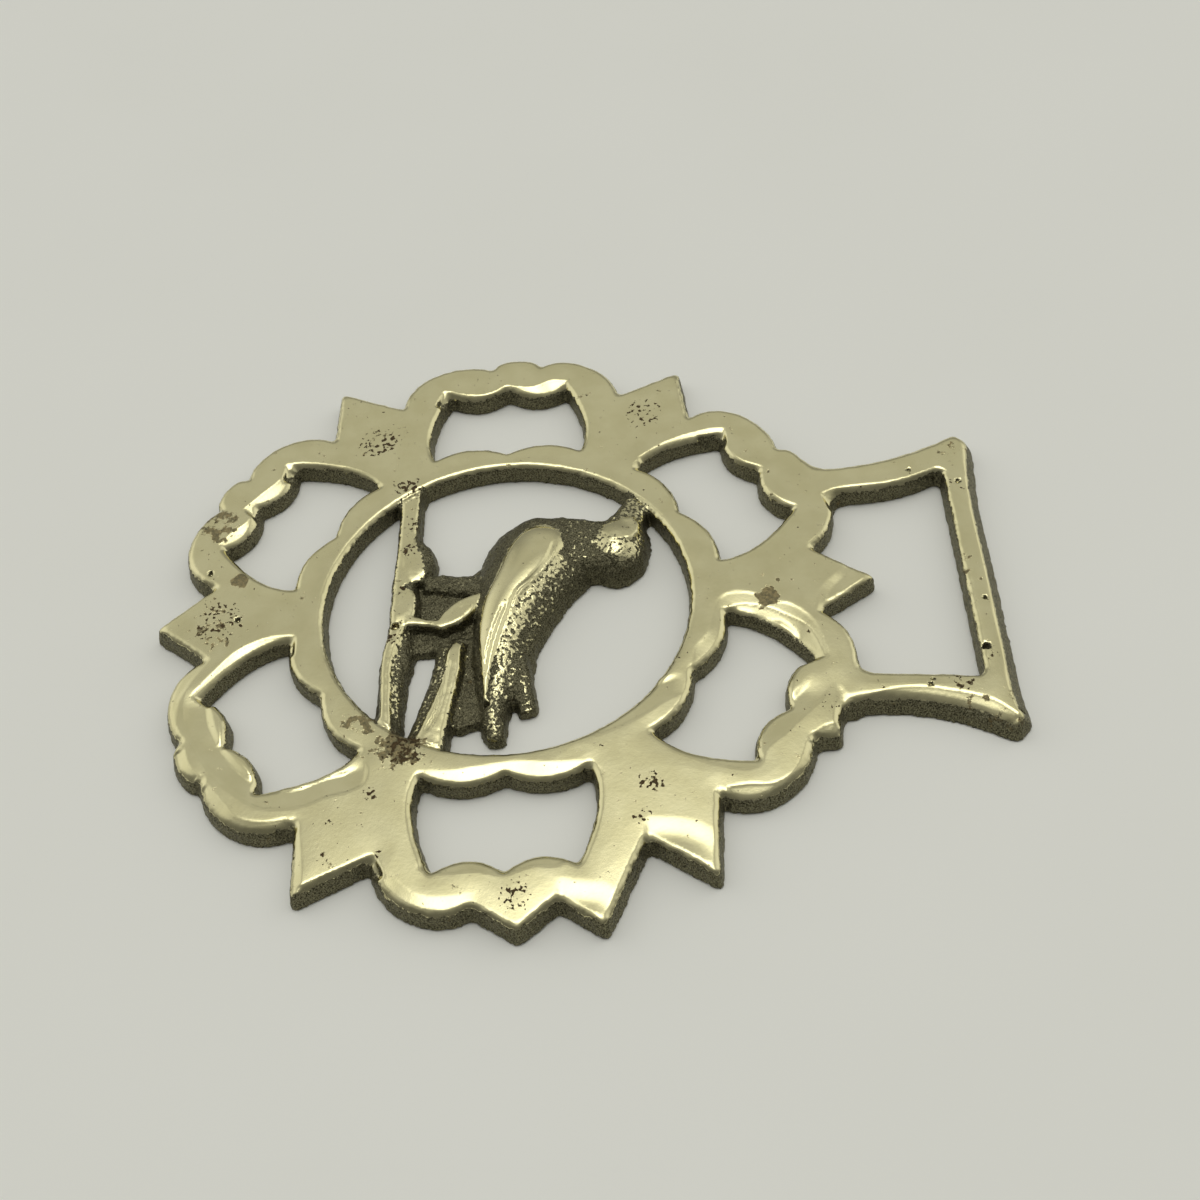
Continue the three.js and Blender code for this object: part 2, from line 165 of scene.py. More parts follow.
BRANCH = [
    (-16.6, -9.7, 1.7, 2.1), (-14.8, -9.75, 1.3, 2.1), (-10.5, -9.8, 1.15, 2.1), (-7.0, -9.9, 1.15, 2.1),
    (-3.0, -10.0, 1.3, 2.1), (0.8, -9.95, 1.3, 2.1), (2.8, -10.45, 0.85, 2.1), (6.3, -11.1, 0.7, 2.1),
    (9.5, -11.05, 0.65, 2.1), (12.7, -10.95, 0.7, 2.1), (15.8, -11.0, 1.3, 2.1),
]
BRANCH_FLANK = [
    (2.0, -10.2, 1.4, 1.5), (4.8, -10.2, 1.6, 1.7), (7.8, -10.6, 1.45, 1.7), (12.1, -10.8, 1.35, 1.7),
    (15.8, -11.1, 1.9, 1.8),
]
TWIG = [
    (4.4, -4.4, 0.7, 1.8), (5.8, -4.8, 0.85, 2.15), (8.0, -4.95, 0.9, 2.2), (11.0, -5.65, 1.05, 2.2),
    (14.6, -6.6, 1.5, 2.2), (17.0, -7.2, 2.0, 2.1),
]
TWIG_FLANK = [(4.6, -5.3, 1.5, 1.5), (8.0, -5.7, 1.5, 1.7), (11.5, -6.6, 1.6, 1.7), (15.5, -7.4, 2.0, 1.8)]
LEG_WEB = dict(height=0.9, outline=[
    (-6.6, -10.2), (5.0, -10.2), (4.6, -2.6), (-5.6, -2.0), (-4.4, -3.5), (-3.7, -4.8), (-3.7, -6.2),
    (-4.4, -6.9), (-6.6, -7.2),
])
TAIL_WEB = dict(height=1.1, outline=[(3.6, -5.2), (13.4, -6.2), (13.9, -4.2), (13.2, -2.0), (3.6, -2.0)])
WEB_FALL = 5               # slope at which a web ends
DULL = [                   # flanks of the toes that stayed rough
    [
        (-9.4, -8.9), (-7.6, -8.9), (-6.4, -8.2), (-3.1, -7.9), (-2.9, -9.7), (-2.4, -10.1), (-2.0, -8.9),
        (-1.9, -6.4), (-9.4, -6.4),
    ],
    [(-2.0, -8.9), (-1.6, -8.7), (0.8, -8.7), (1.2, -8.0), (-3.2, -8.0)],
]
CROWN = 0.62               # below 1, a ridge's flanks are steep and its top is flat
FLANK_CROWN = 1.0          # the rough flanks are round
MOUND_POINTS = 161         # across a mound or ridge
MOUND_STEPS = 70           # and along each span of it
SKIRT = np.linspace(0.02, 0.5, 20)     # a mound runs on past its feet by these parts of its half-width
SKIRT_FALL = 4             # and falls this many times its height for each half-width
RING_JOIN = (-0.3, 0.6)    # distances past the ring's bore between which the bird sinks into the ring
RING_SINK = 1.5            # by this much
RING_OVERLAP = 0.3         # how far into the ring metal still counts as the bird's
BIRD_LOWEST = 0.2          # where it is over this height

# -------------------------------------------------------------- facets
# Creases that the polishing left beside the edges. Seen along its line, the
# face on the left of a crease drops by `step` and then by `slope` per mm.

WINDOW_BEVEL = (0.50, 0.32)  # width and slope of the rounded edge round each window
OUTER_BEVEL = (0.45, 0.18)   # and round the plaque
DISH = (2.6, 0.05, 1.2)      # width and depth of each face's fall to its edges, and its limit past them
FACETS = [
    # petal at 330: a broad crescent and a leaf left of its window, a strip right of it
    dict(step=0.035, slope=0.06, line=[
        (9.6, 29.5), (5.2, 28.7), (3.0, 26.8), (2.4, 25.0), (1.4, 23.5), (1.0, 21.5), (1.6, 20.2),
        (3.5, 19.4), (5.5, 18.9), (7.5, 17.4), (10.1, 17.0),
    ]),
    dict(step=0.03, slope=0.32, line=[
        (9.6, 29.2), (5.8, 28.0), (4.0, 26.0), (2.9, 24.0), (2.5, 22.0), (3.1, 20.4),
    ]),
    dict(step=0.03, slope=0.07, end=3.5, line=[
        (16.6, 12.9), (18.3, 14.3), (19.5, 16.5), (20.4, 18.5), (21.0, 21.0), (20.6, 22.3), (19.0, 23.0),
        (17.5, 24.8), (16.0, 26.3), (15.0, 27.5), (14.0, 28.5), (12.3, 29.7),
    ]),
    dict(step=0.03, slope=0.36, line=[
        (18.2, 26.5), (20.3, 25.7), (21.8, 24.6), (22.5, 23.0), (22.4, 21.0), (22.6, 19.0),
    ]),
    dict(step=0.02, slope=0.36, line=[(16.6, 29.6), (17.0, 28.0), (18.0, 26.9)]),
    # ring bore between the petals at 330 and 270
    dict(step=0.03, slope=0.08, end=3.0, line=[
        (18.0, -1.5), (17.7, 3.0), (17.0, 6.0), (16.0, 9.5), (14.5, 12.5), (13.0, 14.8), (12.3, 17.0),
    ]),
    # strap loop
    dict(step=0.02, slope=0.38, end=0.6, line=[
        (17.6, 45.4), (15.4, 43.2), (14.3, 40.5), (13.5, 37.5), (13.4, 35.0), (13.9, 32.8), (14.8, 31.0),
    ]),
    dict(step=0.02, slope=0.08, end=2.5, line=[(12.7, 31.8), (12.7, 34.0), (12.9, 37.0), (13.5, 40.5)]),
    dict(step=0.03, slope=1.1, end=1.0, line=[
        (-19.0, 47.6), (-15.8, 46.3), (-12.0, 45.6), (-5.7, 45.25), (0.5, 45.2), (9.0, 45.0), (14.6, 44.8),
        (16.6, 45.1), (18.6, 46.2),
    ]),
    # tip of the point at 0, and the slot's left side
    dict(step=0.20, slope=-0.07, width=1.2, line=[
        (-2.6, 32.2), (-0.8, 31.4), (0.4, 30.2), (1.8, 29.2), (3.6, 28.7),
    ]),
    dict(step=0.02, slope=0.38, line=[
        (-12.6, 43.7), (-12.9, 42.6), (-12.4, 41.0), (-11.6, 38.0), (-11.5, 35.0), (-11.3, 32.8),
        (-10.7, 30.9),
    ]),
    # petal at 270: strips on both sides of its window, and its rolled outer lobe
    dict(step=0.01, slope=0.16, end=2.5, line=[
        (20.4, 9.2), (19.2, 7.5), (18.9, 4.0), (18.5, 1.0), (18.8, -2.0), (19.1, -5.0), (18.7, -7.9),
    ]),
    dict(step=0.03, slope=0.10, line=[
        (28.8, -7.4), (29.4, -5.0), (29.3, -2.5), (29.9, 0.0), (29.2, 2.5), (29.3, 4.5), (28.3, 6.6),
    ]),
    dict(step=0.0, slope=0.14, end=3.5, line=[
        (31.0, -1.5), (31.5, -4.5), (31.2, -7.0), (29.5, -9.0), (27.4, -10.5),
    ]),
    # petal at 210
    dict(step=0.03, slope=0.30, line=[
        (2.6, -19.8), (2.7, -22.5), (4.0, -25.3), (6.5, -27.4), (9.0, -29.2),
    ]),
    dict(step=0.04, slope=0.09, end=2.5, line=[
        (8.0, -29.8), (12.0, -29.2), (15.0, -28.0), (17.6, -26.3), (19.8, -24.2), (21.6, -21.6),
        (22.0, -19.5), (21.8, -17.3), (21.0, -15.3), (20.6, -13.5), (19.8, -12.3), (18.0, -12.1),
        (16.4, -13.0),
    ]),
    dict(step=0.02, slope=0.36, line=[
        (22.8, -18.6), (23.0, -21.0), (22.4, -23.2), (20.8, -24.6), (18.6, -26.4),
    ]),
    dict(step=0.02, slope=0.36, line=[(17.9, -27.0), (16.6, -28.2), (14.6, -29.0)]),
    dict(step=0.03, slope=0.12, line=[
        (14.0, -29.2), (11.5, -30.2), (9.5, -30.1), (7.2, -29.2), (5.0, -27.9),
    ]),
    # point at 240
    dict(step=0.02, slope=0.34, line=[(26.9, -10.9), (28.2, -14.0), (29.6, -17.4)]),
    dict(step=0.02, slope=0.22, line=[(30.2, -16.9), (27.0, -17.2), (23.4, -17.8)]),
    # petal at 150
    dict(step=0.02, slope=0.36, line=[(-19.9, -22.8), (-18.3, -23.4), (-16.3, -25.1), (-14.2, -27.0)]),
    dict(step=0.02, slope=0.36, line=[(-14.2, -25.7), (-12.6, -26.2), (-11.2, -27.6), (-9.5, -28.9)]),
    dict(step=0.01, slope=0.30, line=[(-17.0, -13.9), (-19.3, -17.5), (-20.3, -20.5), (-20.4, -23.2)]),
    # petal at 90
    dict(step=0.02, slope=0.36, line=[(-29.8, 6.6), (-30.0, 4.6), (-29.2, 2.7), (-29.6, 0.3)]),
    dict(step=0.02, slope=0.36, line=[(-29.6, -0.1), (-28.6, -1.8), (-28.7, -4.0), (-29.7, -7.0)]),
    # petal at 30
    dict(step=0.02, slope=0.34, line=[
        (-20.8, 22.6), (-20.8, 20.6), (-20.2, 18.2), (-19.2, 15.8), (-17.4, 13.2),
    ]),
    dict(step=0.02, slope=0.34, line=[(-15.1, 25.4), (-16.2, 23.5), (-18.2, 22.3), (-20.4, 22.0)]),
    dict(step=0.01, slope=0.30, line=[(-9.0, 28.0), (-10.6, 26.7), (-13.0, 25.3)]),
]
HOLLOWS = [                # shallow valleys near a tip: depth, width and line
    (0.13, 1.0, [(31.4, 18.2), (28.2, 16.7), (27.1, 14.6), (26.7, 11.6)]),
    (0.13, 1.0, [(34.9, 9.6), (33.0, 8.0), (32.5, 6.2), (32.1, 4.0)]),
]
FACET_REACH = 2.6          # how far from its crease a facet drops
FACET_END = 0.4            # length over which it starts and ends
CREASE_WIDTH = 0.25        # over which its step is taken
FADE = 0.8                 # over which it dies out sideways, and a valley dies out at its ends

GROOVES = [                # beside the crest of the wing, and along the twig
    [(-5.9, 4.9), (-3.4, 4.1), (-1.2, 2.6), (0.2, 1.3), (3.0, 0.3), (6.0, -0.6), (9.0, -1.2), (12.0, -1.5)],
    [(1.5, 0.1), (4.0, -0.8), (7.0, -1.6), (9.5, -1.8)],
    [(6.5, -5.2), (8.5, -5.5), (10.5, -5.75), (12.8, -6.3), (14.8, -7.2)],
]
GROOVE = (0.14, 0.15)      # depth and width

# --------------------------------------------------------------- polish

POLISHED_LEVEL = 2.12      # the low parts of the bird were polished level with the plate
LEVEL_BLEND = 0.25         # softness of their rims, and of the head's facet's
LOW_STANDING = (-0.25, -0.1)   # where they are this near the bird's top surface
LOW_HEIGHTS = (1.72, 2.02)     # and this high
LOW_POLISH = 0.88          # but not as clean as the plate
HEAD_POLISH = 0.85

# Distances inside an outline, heights and upward parts of a face's direction between
# which the polish comes on.
DULL_EDGE = (0.2, -0.2)
WING_EDGE = (-0.12, 0.12)
HEAD_EDGE = (-0.3, 0.2)
FLECK_EDGE = (-0.5, 0.4)
BAR_EDGE = (-0.15, 0.15)
FACE_LEVEL = (1.35, 1.7)
FACE_UPWARD = (0.42, 0.68)
BIRD_UPWARD = (0.15, 0.4)

# Outlines of what was polished on the bird, of the rough end bar, and of what only caught
# the polish in specks.
HEAD_FACET = [
    (-6.9, 9.1), (-7.8, 9.7), (-8.9, 11.4), (-9.1, 12.6), (-7.9, 13.2), (-6.6, 13.1), (-5.6, 12.2),
    (-5.9, 10.6), (-6.3, 9.6),
]
ROUGH_BAR = [              # the strap loop's end bar, outside its polished strip
    (-18.0, 47.4), (-15.8, 46.45), (-12.0, 45.75), (-5.7, 45.4), (0.5, 45.35), (9.0, 45.15), (14.6, 44.95),
    (16.6, 45.3), (17.4, 48.0), (-18.0, 48.4),
]
FLECKED = [
    dict(strength=0.62, outline=[
        (-6.7, 9.0), (-5.5, 11.8), (-5.6, 12.9), (-4.2, 12.9), (-3.3, 11.2), (-4.6, 9.2), (-5.8, 8.4),
    ]),
    dict(strength=0.20, outline=[(-9.2, 8.9), (-9.4, 5.8), (-5.0, 6.0), (-2.4, 6.4), (-3.6, 9.4)]),
    dict(strength=0.56, outline=[
        (-4.9, 5.4), (0.4, 1.2), (5.2, -0.3), (11.6, -1.5), (11.6, -0.5), (5.4, 1.2), (0.6, 3.2),
        (-3.4, 5.9),
    ]),
    dict(strength=0.30, outline=[
        (-4.0, 6.4), (0.4, 2.6), (5.2, 1.0), (11.6, -0.8), (11.6, 0.2), (5.4, 2.2), (1.4, 4.4),
        (-2.4, 6.8),
    ]),
    dict(strength=0.48, outline=[(11.4, -1.9), (16.0, -1.5), (16.0, -0.5), (11.4, -0.5)]),
    dict(strength=0.45, outline=[(8.8, 1.3), (12.7, 1.7), (12.9, 2.4), (9.0, 2.0)]),
    dict(strength=0.50, outline=[(-9.1, 10.6), (-11.8, 11.9), (-12.6, 13.2), (-11.0, 14.2), (-9.0, 13.5)]),
    dict(strength=0.34, outline=[
        (-9.0, 8.2), (-9.9, 10.4), (-9.4, 13.4), (-5.4, 13.8), (-5.2, 12.2), (-6.8, 9.0),
    ]),
    dict(strength=0.45, outline=[(3.0, -10.9), (12.5, -11.2), (12.5, -9.8), (6.0, -10.0), (2.4, -9.3)]),
    dict(strength=0.34, outline=[(4.6, -6.2), (14.4, -8.6), (15.0, -4.9), (8.0, -3.8), (4.6, -3.6)]),
    dict(strength=0.20, outline=[
        (-10.2, 2.0), (-7.5, -0.6), (-2.6, -2.4), (-2.4, -4.6), (-3.6, -4.8), (-8.6, -1.4), (-10.6, 1.2),
    ]),
]

# Places marked by the casting and by age: x, y, radius and strength.
PITTED = [
    (-24.0, 14.4, 3.6, 0.8), (-22.3, -13.2, 3.6, 0.9), (0.2, -27.5, 4.2, 0.8), (21.6, 12.8, 1.9, 1.0),
    (25.0, 11.8, 1.5, 0.85), (31.8, 1.0, 2.3, 0.9), (29.8, 8.2, 1.5, 0.6), (14.4, 28.9, 1.9, 0.7),
    (13.1, 41.0, 2.2, 0.8), (10.5, 43.9, 1.7, 0.7), (-15.6, -10.0, 2.4, 0.9), (20.9, -11.7, 1.3, 0.9),
    (24.0, -12.2, 1.1, 0.7), (23.5, -15.0, 1.1, 0.7), (27.2, -15.2, 1.2, 0.8), (27.0, -10.6, 0.8, 0.8),
    (16.6, -9.0, 3.2, 1.0), (-10.5, 44.5, 2.0, 0.6), (-10.5, -9.3, 2.4, 0.75), (-7.2, -9.6, 1.4, 1.0),
    (3.6, -10.8, 1.3, 1.0), (-2.2, -10.1, 1.0, 1.0), (2.2, -10.4, 1.1, 1.0), (1.0, -4.6, 1.6, 0.45),
    (-8.0, 12.0, 2.4, 0.6), (-21.5, -24.0, 3.0, 0.4), (-13.0, 43.0, 3.0, 0.35), (1.0, -24.0, 3.0, 0.5),
    (-12.0, 28.6, 2.0, 0.55), (-30.6, -3.5, 1.4, 0.6), (-18.8, 24.0, 1.2, 0.6), (-21.8, 18.6, 1.6, 0.5),
    (-18.3, 2.0, 1.6, 0.5), (-5.2, -29.6, 2.2, 0.5),
]
SCATTERED = 0.36           # pitting anywhere else
PLACE_CORE = 0.35          # part of its radius within which a place is at full strength
HOLE_FLOOR = 0.4           # and of a hole's radius within which it is flat
STAINED = [
    (2.0, 24.7, 1.7, 1.0), (0.6, -27.6, 4.4, 0.34), (-15.5, 43.5, 4.0, 0.22), (15.6, 43.0, 4.5, 0.24),
    (0.0, 44.4, 3.5, 0.2), (0.0, 25.8, 0.5, 0.9), (-0.6, 24.4, 0.5, 0.7), (-4.6, -26.1, 1.3, 1.0),
    (-12.2, -29.0, 3.4, 0.55), (16.3, -9.4, 3.2, 0.8), (13.2, -13.2, 2.4, 0.55), (-15.5, -9.8, 1.4, 0.45),
    (-22.3, -13.2, 3.2, 0.25), (21.7, 12.8, 1.6, 0.3), (27.2, -15.1, 1.1, 0.5),
]
HOLES = [                  # x, y, radius and depth of the larger pits
    (9.5, 43.6, 0.42, 0.5), (0.2, -25.7, 0.32, 0.4), (16.5, 45.4, 0.35, 0.4), (2.2, -10.5, 0.45, 0.5),
    (-5.9, -29.1, 0.3, 0.4), (12.0, -1.7, 0.35, 0.5), (3.9, 44.5, 0.2, 0.3), (-13.0, 40.1, 0.22, 0.3),
    (12.7, 38.3, 0.2, 0.3), (13.3, 38.0, 0.25, 0.3), (-11.0, 44.6, 0.3, 0.3),
]

# ------------------------------------------------------------------- skin

# Layers of bumps: height, size and seed of the random values.
ROUGHNESS = [(0.06, 0.7, 1), (0.04, 0.35, 2)]  # of the cast skin
SWAY = [(0.025, 6.0, 3), (0.008, 2.2, 4)]      # of the polished face
BIRD_ROUGHNESS = 1.4       # the bird's rough parts are this many times rougher
LATTICE = 32               # random values along each side of the noise's cube, which repeats

# ------------------------------------------------------------- plan maps

PLAN_STEP = 0.1            # spacing of the plan maps
MARGIN = 1.5               # how far they reach past the casting
NEAR = 3.0                 # distances are worked out this far from an outline
CORNER_PASSES = 16         # rounds the corners of the outlines, by some 0.3 mm
BORE_PASSES = 8            # and of the windows and the ring's bore
FLARE_PASSES = 12          # eases the change from one wall's draft to the next
BACKGROUND = -2.0          # height of the plan map where there is no bird

low, high = (np.array(corner) / MM for corner in CAD_BOX)
MIDDLE = low[:2] + (LEFT_REACH, LOWER_REACH)
plan_low = low[:2] - MIDDLE - MARGIN
plan_size = np.ceil((high[:2] - low[:2] + 2 * MARGIN) / PLAN_STEP).astype(int)
PLAN_X = plan_low[0] + PLAN_STEP * np.arange(plan_size[0])
PLAN_Y = plan_low[1] + PLAN_STEP * np.arange(plan_size[1])


def span(axis, lowest, highest):
    """Slice of a plan axis from lowest to highest."""
    return slice(*np.searchsorted(axis, (lowest, highest)))


def distance_from(x, y):
    """Plan map of the distance to a point."""
    return np.hypot(PLAN_X[:, None] - x, PLAN_Y[None] - y)


def sampled(plan, x, y):
    """Values of a plan map at the points x, y."""
    u = np.clip((x - plan_low[0]) / PLAN_STEP, 0, plan_size[0] - 1.001)
    v = np.clip((y - plan_low[1]) / PLAN_STEP, 0, plan_size[1] - 1.001)
    i, j = u.astype(int), v.astype(int)
    u, v = u - i, v - j
    lower = plan[i, j] * (1 - u) + plan[i + 1, j] * u
    upper = plan[i, j + 1] * (1 - u) + plan[i + 1, j + 1] * u
    return lower * (1 - v) + upper * v


def polar(radius, degrees):
    """Position on the plaque."""
    turn = math.radians(degrees)
    return (-radius * math.sin(turn), radius * math.cos(turn))


def bezier(points, steps=10):
    """Points along the Bezier curve of any order, without its end."""
    curve = np.array(points, float)[:, None] + np.zeros((1, steps, 1))
    t = (np.arange(steps) / steps)[:, None]
    while len(curve) > 1:
        curve = curve[:-1] * (1 - t) + curve[1:] * t
    return [tuple(point) for point in curve[0]]


def to_segment(start, end, x, y):
    """Distance from the points x, y to a segment."""
    (ax, ay), (bx, by) = start, end
    dx, dy = bx - ax, by - ay
    t = np.clip(((x - ax) * dx + (y - ay) * dy) / (dx * dx + dy * dy), 0, 1)
    return np.hypot(x - ax - t * dx, y - ay - t * dy)


def depth_inside(outline):
    """Plan map of the distance to a closed outline, positive inside it."""
    distance = np.full(plan_size, NEAR)
    inside = np.zeros(plan_size, bool)
    for start, end in zip(outline, outline[1:] + outline[:1]):
        (ax, ay), (bx, by) = start, end
        if (ax, ay) == (bx, by):
            continue
        rows = span(PLAN_X, min(ax, bx) - NEAR, max(ax, bx) + NEAR)
        columns = span(PLAN_Y, min(ay, by) - NEAR, max(ay, by) + NEAR)
        window = distance[rows, columns]
        np.minimum(window, to_segment(start, end, PLAN_X[rows, None], PLAN_Y[None, columns]), out=window)
        crossed = span(PLAN_Y, min(ay, by), max(ay, by))
        crossing = ax + (PLAN_Y[crossed] - ay) * (bx - ax) / ((by - ay) or 1)
        inside[:, crossed] ^= PLAN_X[:, None] < crossing
    return np.where(inside, distance, -distance)


def soft_min(a, b, blend):
    """The smaller value, rounded off where the two differ by less than `blend`."""
    overlap = np.maximum(blend - np.abs(a - b), 0)
    return np.minimum(a, b) - overlap * overlap / (4 * blend)


def soft_max(a, b, blend):
    return -soft_min(-a, -b, blend)


def smoothed(plan, passes):
    """Plan map with each value averaged with its neighbours, `passes` times."""
    for _ in range(passes):
        for axis in (0, 1):
            plan = (np.roll(plan, 1, axis) + 2 * plan + np.roll(plan, -1, axis)) / 4
    return plan


def smoothstep(value, zero_at, one_at):
    """0 to 1 as the value goes from `zero_at` to `one_at`, either way round."""
    t = np.clip((value - zero_at) / (one_at - zero_at), 0, 1)
    return t * t * (3 - 2 * t)


def bumps(x, y, z, size, seed):
    """Smooth random values from -1 to 1, with bumps `size` mm across."""
    lattice = np.random.default_rng(seed).uniform(-1, 1, (LATTICE, LATTICE, LATTICE))
    value = 0
    cells = [np.floor(axis / size).astype(int) for axis in (x, y, z)]
    parts = [axis / size - cell for axis, cell in zip((x, y, z), cells)]
    parts = [part * part * (3 - 2 * part) for part in parts]
    for corner in range(8):
        steps = [corner >> axis & 1 for axis in range(3)]
        weight = 1
        for part, step in zip(parts, steps):
            weight = weight * (part if step else 1 - part)
        i, j, k = ((cell + step) % LATTICE for cell, step in zip(cells, steps))
        value = value + weight * lattice[i, j, k]
    return value


def noise(x, y, z, layers):
    """Random heights in mm, from layers of bumps."""
    return sum(height * bumps(x, y, z, size, seed) for height, size, seed in layers)


# --------------------------------------------------------- plate outlines

def petal_outline(petal, first_valley, last_valley):
    """A petal's three lobes from valley to valley, as positions on the plaque."""
    axis = petal["axis"]
    first_notch, last_notch = ((NOTCH_RADIUS, angle) for angle in petal["notches"])
    reach = petal.get("first_reach", 0)
    lobes = [
        [first_valley, *((r + reach, -a) for r, a in OUTER_LOBE_PULLS), first_notch],
        [first_notch, *((MIDDLE_LOBE_PULL, a) for a in petal["notches"]), last_notch],
        [last_notch, *reversed(OUTER_LOBE_PULLS), last_valley],
    ]
    peaks = [None, petal.get("middle_peak"), petal.get("last_peak")]
    outline = []
    for lobe, peak in zip(lobes, peaks):
        at = [polar(radius, axis + angle) for radius, angle in lobe]
        outline += [at[0], polar(peak[0], axis + peak[1])] if peak else bezier(at)
    return outline


def plaque_outline():
    outline = []
    for i, petal in enumerate(PETALS):
        before, after = POINTS[i], POINTS[(i + 1) % len(POINTS)]
        turn = 360 if after is POINTS[0] else 0
        valleys = [
            (point.get("valley_radius", VALLEY_RADIUS), angle)
            for point, angle in ((before, before["valleys"][1]), (after, after["valleys"][0] + turn))
        ]
        outline.append(polar(before["radius"], before["angle"]))
        outline += petal_outline(petal, *((radius, angle - petal["axis"]) for radius, angle in valleys))
        outline.append(polar(*valleys[1]))
    return outline


def window_outline(axis):
    """The window pierced in the petal at `axis`, walked round anticlockwise."""
    path = [
        ("outer_corner", -1, "outer_bow", -1), ("outer_cusp", 1, "outer_bow", 1),
        ("outer_corner", 1, "side_bow", 1), ("inner_corner", 1, "inner_bow", 1),
        ("inner_cusp", 1, "inner_bow", -1), ("inner_corner", -1, "side_bow", -1),
    ]

    def at(name, side):
        radius, angle = OPENING[name]
        return polar(radius, axis + side * angle)

    outline = []
    for (corner, side, bow, bow_side), (next_corner, next_side, _, _) in zip(path, path[1:] + path[:1]):
        outline += bezier([at(corner, side), at(bow, bow_side), at(next_corner, next_side)])
    return outline


def loop_outline():
    left, right = LOOP["left"], LOOP["right"]
    return [
        *bezier([right["root"], right["waist"], right["corner"]]), right["corner"], right["shoulder"],
        *LOOP["bar"],
        left["shoulder"], *bezier([left["corner"], left["waist"], left["root"]]), left["root"],
    ]


def slot_outline():
    left, right = SLOT["left"], SLOT["right"]
    return [
        *bezier([right["foot"], right["waist"], right["corner"]]), right["corner"], right["seat"],
        left["seat"], *bezier([left["corner"], left["waist"], left["foot"]]), left["foot"],
    ]


# ----------------------------------------------------------- bird heights

def rail(points, steps):
    """Centripetal Catmull-Rom curve through the points, `steps` to each span."""
    points = np.array([(*point, 0)[:3] for point in points], float)
    points = np.vstack([2 * points[0] - points[1], points, 2 * points[-1] - points[-2]])
    gaps = np.maximum(np.linalg.norm(np.diff(points, axis=0), axis=1), 1e-6) ** 0.5
    t = (np.arange(steps) / steps)[:, None]
    curve = []
    for i in range(1, len(points) - 2):
        before, start, end, after = points[i - 1:i + 3]
        g0, g1, g2 = gaps[i - 1:i + 2]
        leave = (start - before) / g0 - (end - before) / (g0 + g1) + (end - start) / g1
        arrive = (end - start) / g1 - (after - start) / (g1 + g2) + (after - end) / g2
        leave, arrive = leave * g1, arrive * g1
        curve.append(
            start + t * leave + t**2 * (3 * (end - start) - 2 * leave - arrive)
            + t**3 * (2 * (start - end) + leave + arrive)
        )
    return np.vstack([*curve, points[-2:-1]])


def closed(plan):
    """Plan map with its small gaps filled from their neighbours."""
    for pick in (np.maximum, np.minimum):
        for axis in (0, 1):
            plan = pick(pick(np.roll(plan, 1, axis), plan), np.roll(plan, -1, axis))
    return plan


def draped(belly, crest, back, crown=1.0):
    """Plan map of the height of a mound lofted along three rails."""
    belly, crest, back = (rail(points, MOUND_STEPS) for points in (belly, crest, back))
    out = np.abs(np.linspace(-1, 1, MOUND_POINTS))
    up = (1 - out ** (2 / crown)) ** (crown / 2)
    out = np.concatenate([1 + SKIRT[::-1], out, 1 + SKIRT])
    up = np.concatenate([-SKIRT_FALL * SKIRT[::-1], up, -SKIRT_FALL * SKIRT])
    foot = np.where((np.arange(len(out)) < len(out) / 2)[:, None, None], belly, back)
    surface = crest + (foot - crest) * out[:, None, None]
    surface[..., 2] = foot[..., 2] + (crest[:, 2] - foot[..., 2]) * up[:, None]
    heights = np.full(plan_size, BACKGROUND)
    cells = np.rint((surface[..., :2] - plan_low) / PLAN_STEP).astype(int).reshape(-1, 2)
    np.maximum.at(heights, (cells[:, 0], cells[:, 1]), surface[..., 2].ravel())
    return closed(heights)


def ridge(line, crown=CROWN):
    """Plan map of the height of a ridge along x, y, half-width, height."""
    line = np.array(line)
    ahead = np.gradient(line[:, :2], axis=0)
    ahead /= np.linalg.norm(ahead, axis=1)[:, None]
    across = ahead[:, ::-1] * (1, -1) * line[:, 2:3]
    return draped(line[:, :2] + across, line[:, [0, 1, 3]], line[:, :2] - across, crown)


def lofted(sections):
    return draped(*zip(*sections))


def head_height():
    """The head: a dome, with a flat polished facet on its far side."""
    (cx, cy), (rx, ry, rz) = HEAD["centre"], HEAD["radii"]
    round_off = 1 - ((PLAN_X[:, None] - cx) / rx) ** 2 - ((PLAN_Y[None] - cy) / ry) ** 2
    dome = np.maximum(np.sign(round_off) * rz * np.abs(round_off) ** 0.5, BACKGROUND)
    past_rim = np.minimum(depth_inside(HEAD_FACET) - HEAD_FACE["rim"], 0)
    facet = HEAD_FACE["height"] + HEAD_FACE["tilt"] * (PLAN_X[:, None] - cx) + HEAD_FACE["fall"] * past_rim
    return soft_max(dome, facet, LEVEL_BLEND)


def web_height(web):
    """A thin skin of metal: level inside its outline, and steeply down outside it."""
    return np.minimum(web["height"], web["height"] + WEB_FALL * depth_inside(web["outline"]))


# ---------------------------------------------------------- polished face

